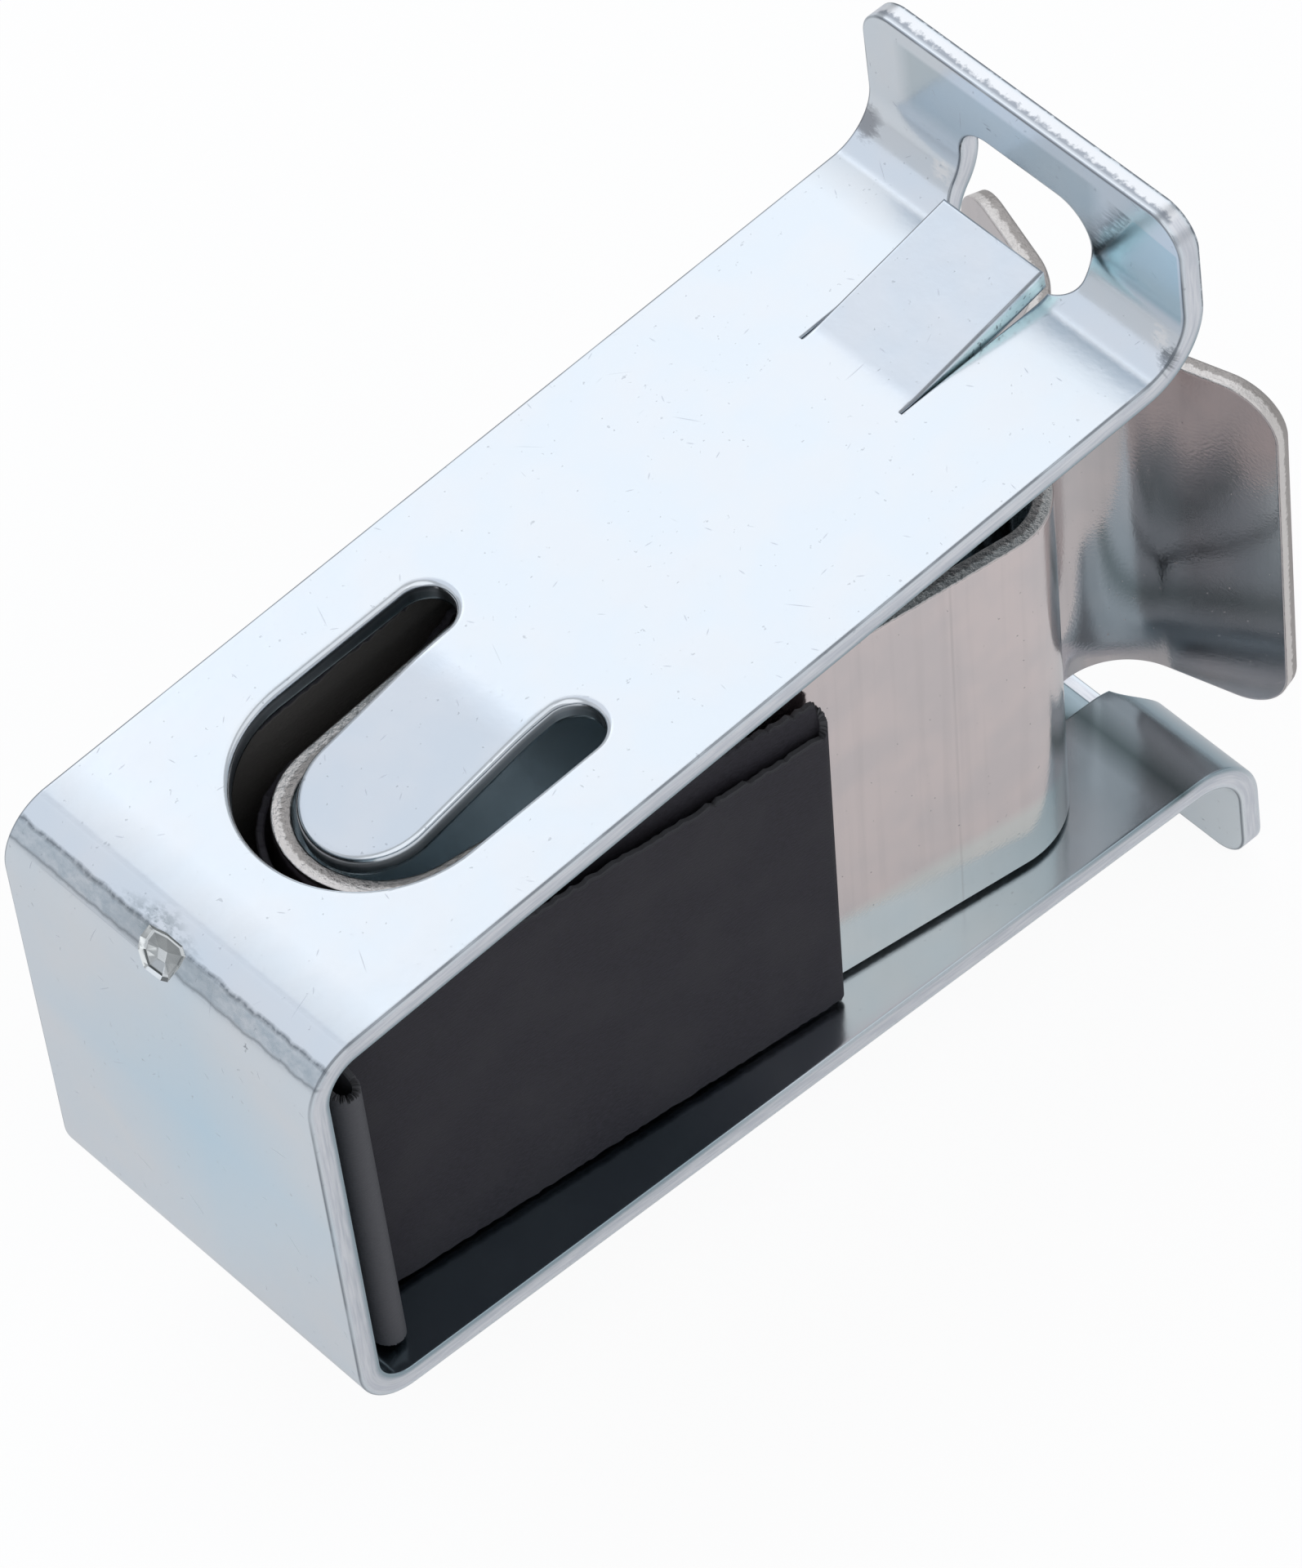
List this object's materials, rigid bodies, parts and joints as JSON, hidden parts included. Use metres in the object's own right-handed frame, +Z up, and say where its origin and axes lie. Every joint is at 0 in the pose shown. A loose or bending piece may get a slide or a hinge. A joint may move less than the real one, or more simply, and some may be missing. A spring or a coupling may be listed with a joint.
{
  "type": "dryer door catch",
  "caption": "Folded steel door catch: a U-shaped bracket with snap-in barbs holds an omega spring clip in a black sleeve and grips a door strike.",
  "frame": {"origin": "middle of the web's outer face, which is the bracket's closed end", "axes": "+X from the closed end to the mouth, +Y across the strip, +Z up, square to the plane midway between the two flanges"},
  "size_m": [0.0544, 0.0194, 0.0422],
  "materials": {
    "zinc_plate": "bright bluish zinc plate, lightly scratched, creased along the folds",
    "spring_steel": "warm grey polished spring steel with sheared edges",
    "black_sleeve": "matt black sheet with torn edges"
  },
  "bodies": {
    "root": {"bracket": "zinc_plate", "spring_clip": "spring_steel", "sleeve": "black_sleeve"}
  },
  "joints": []
}
